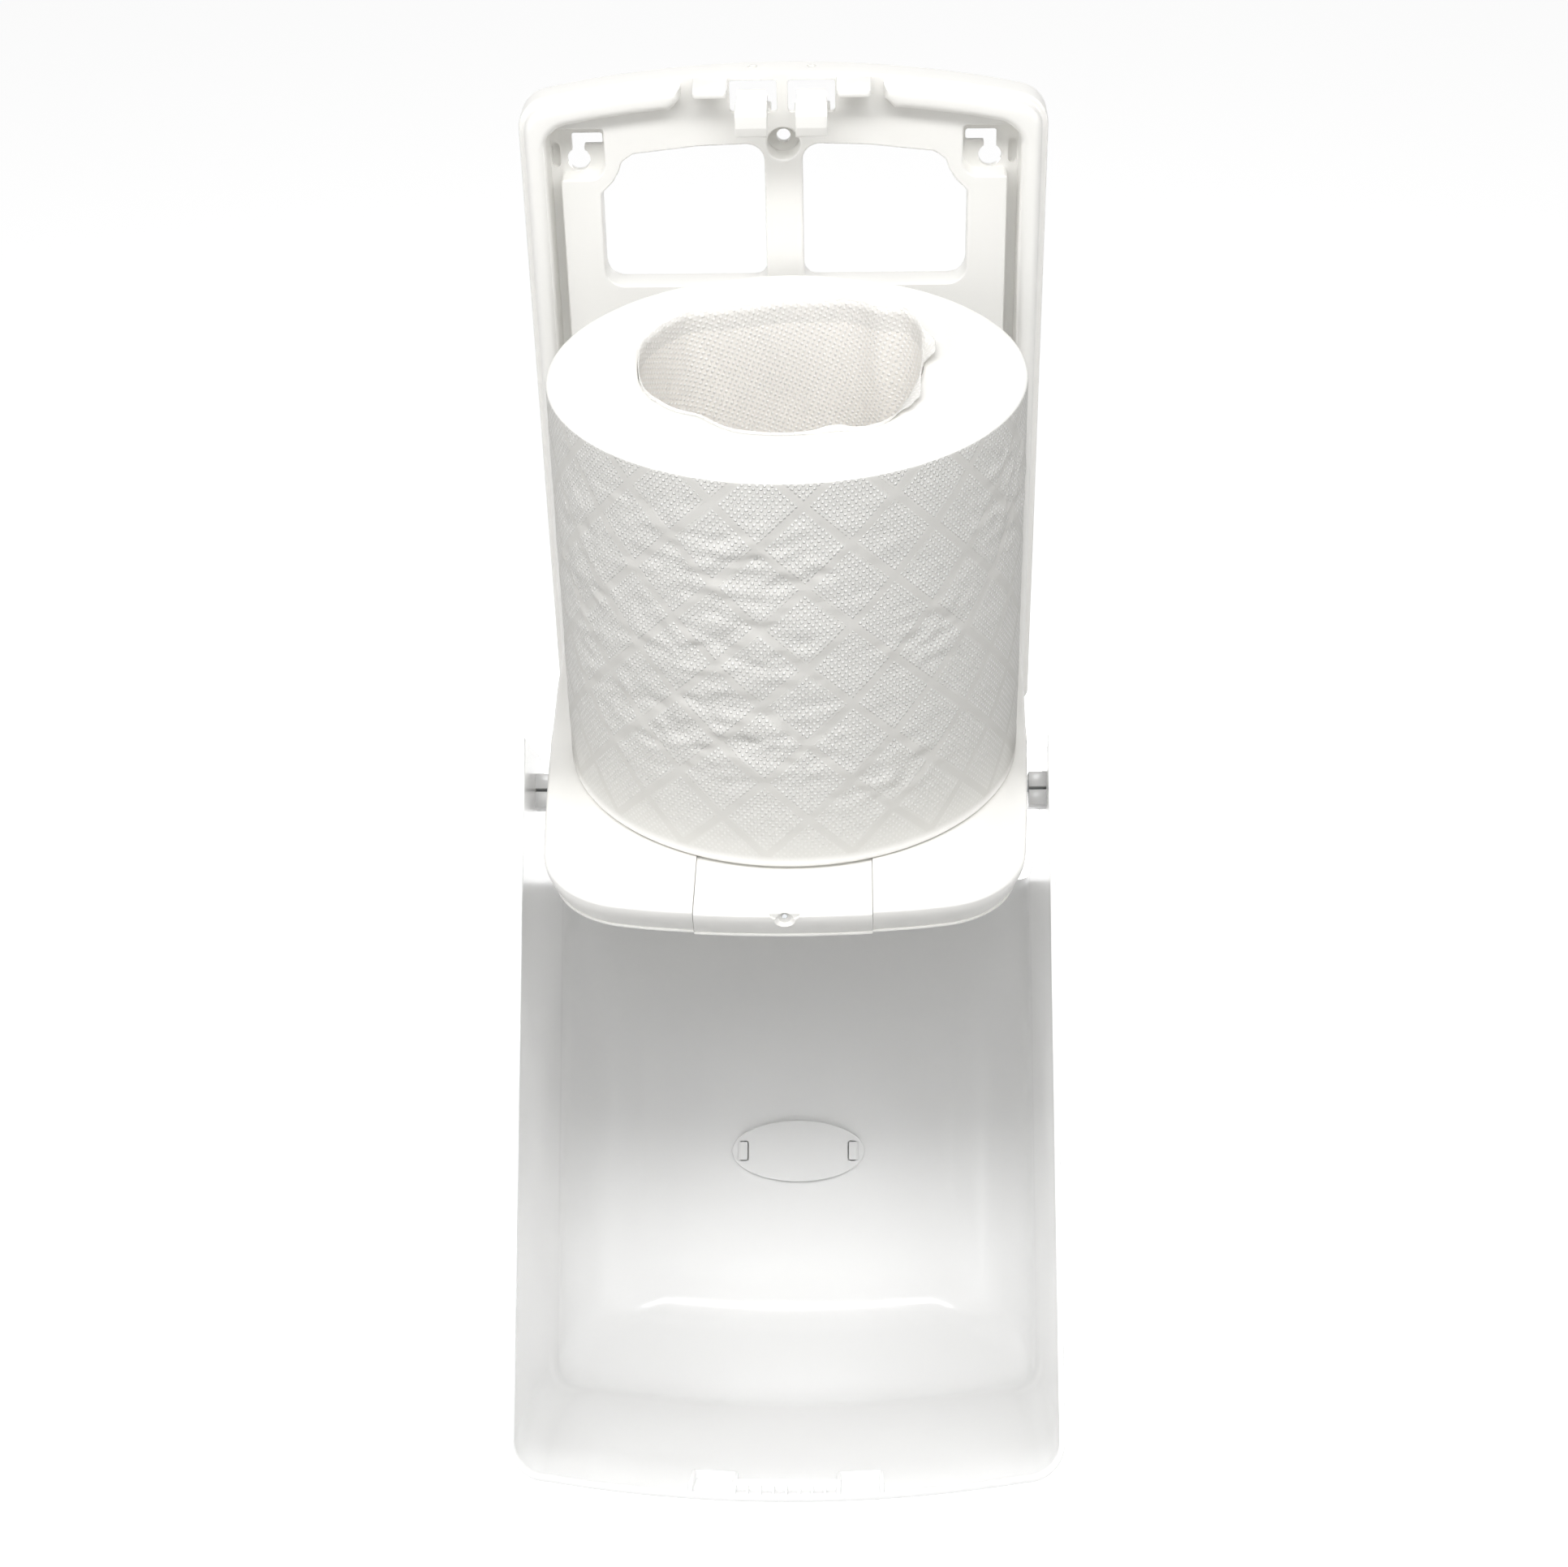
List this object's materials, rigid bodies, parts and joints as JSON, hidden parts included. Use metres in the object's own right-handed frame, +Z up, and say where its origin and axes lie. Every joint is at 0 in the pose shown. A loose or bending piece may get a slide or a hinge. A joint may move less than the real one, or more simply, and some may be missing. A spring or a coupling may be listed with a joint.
{
  "type": "centre-pull paper roll dispenser",
  "caption": "Wall-hung centre-pull paper roll dispenser with its moulded cover swung down, sprung latch tongues, a shelf with a tear nozzle and a part-used paper roll.",
  "frame": {"origin": "on the wall face of the back plate, on the centre line, level with the top of the shelf", "axes": "+Y into the wall, -Y towards the user, +X to the user's right, +Z up; the cover is shown open"},
  "size_m": [0.2352, 0.3668, 0.581],
  "materials": {
    "plate_plastic": "white moulded ABS, satin gloss",
    "nozzle_plastic": "white moulded acetal, satin",
    "screw_steel": "zinc plated",
    "pin_steel": "zinc plated",
    "latch_plastic": "white moulded ABS, satin gloss",
    "cover_plastic": "white moulded ABS, smooth and slightly glossy",
    "badge_plastic": "white moulded ABS, blank",
    "tissue_paper": "soft white embossed tissue"
  },
  "bodies": {
    "wall_unit": {"back_plate": "plate_plastic", "shelf": "plate_plastic", "nozzle_insert": "plate_plastic", "tear_nozzle": "nozzle_plastic", "insert_screw": "screw_steel", "hinge_pin_left": "pin_steel", "hinge_pin_right": "pin_steel"},
    "cover": {"cover": "cover_plastic", "oval_badge": "badge_plastic"},
    "latch_left": {"latch_tongue_left": "latch_plastic"},
    "latch_right": {"latch_tongue_right": "latch_plastic"},
    "roll": {"paper_roll": "tissue_paper", "loose_inner_turns": "tissue_paper"}
  },
  "joints": [
    {"name": "cover_hinge", "type": "hinge", "parent": "wall_unit", "child": "cover", "pos_m": [0, -0.098, -0.0385], "axis": [1, 0, 0], "range_deg": [-137, 0]},
    {"name": "latch_left_press", "type": "hinge", "parent": "wall_unit", "child": "latch_left", "pos_m": [-0.0124, -0.005, 0.2465], "axis": [1, 0, 0], "range_deg": [0, 12], "stiffness_Nm_per_rad": 0.3, "springref_deg": -2.86},
    {"name": "latch_right_press", "type": "hinge", "parent": "wall_unit", "child": "latch_right", "pos_m": [0.0124, -0.005, 0.2465], "axis": [1, 0, 0], "range_deg": [0, 12], "stiffness_Nm_per_rad": 0.3, "springref_deg": -2.86},
    {"name": "roll_lift", "type": "slide", "parent": "wall_unit", "child": "roll", "axis": [0, 0, 1], "range_m": [0, 0.045]}
  ]
}
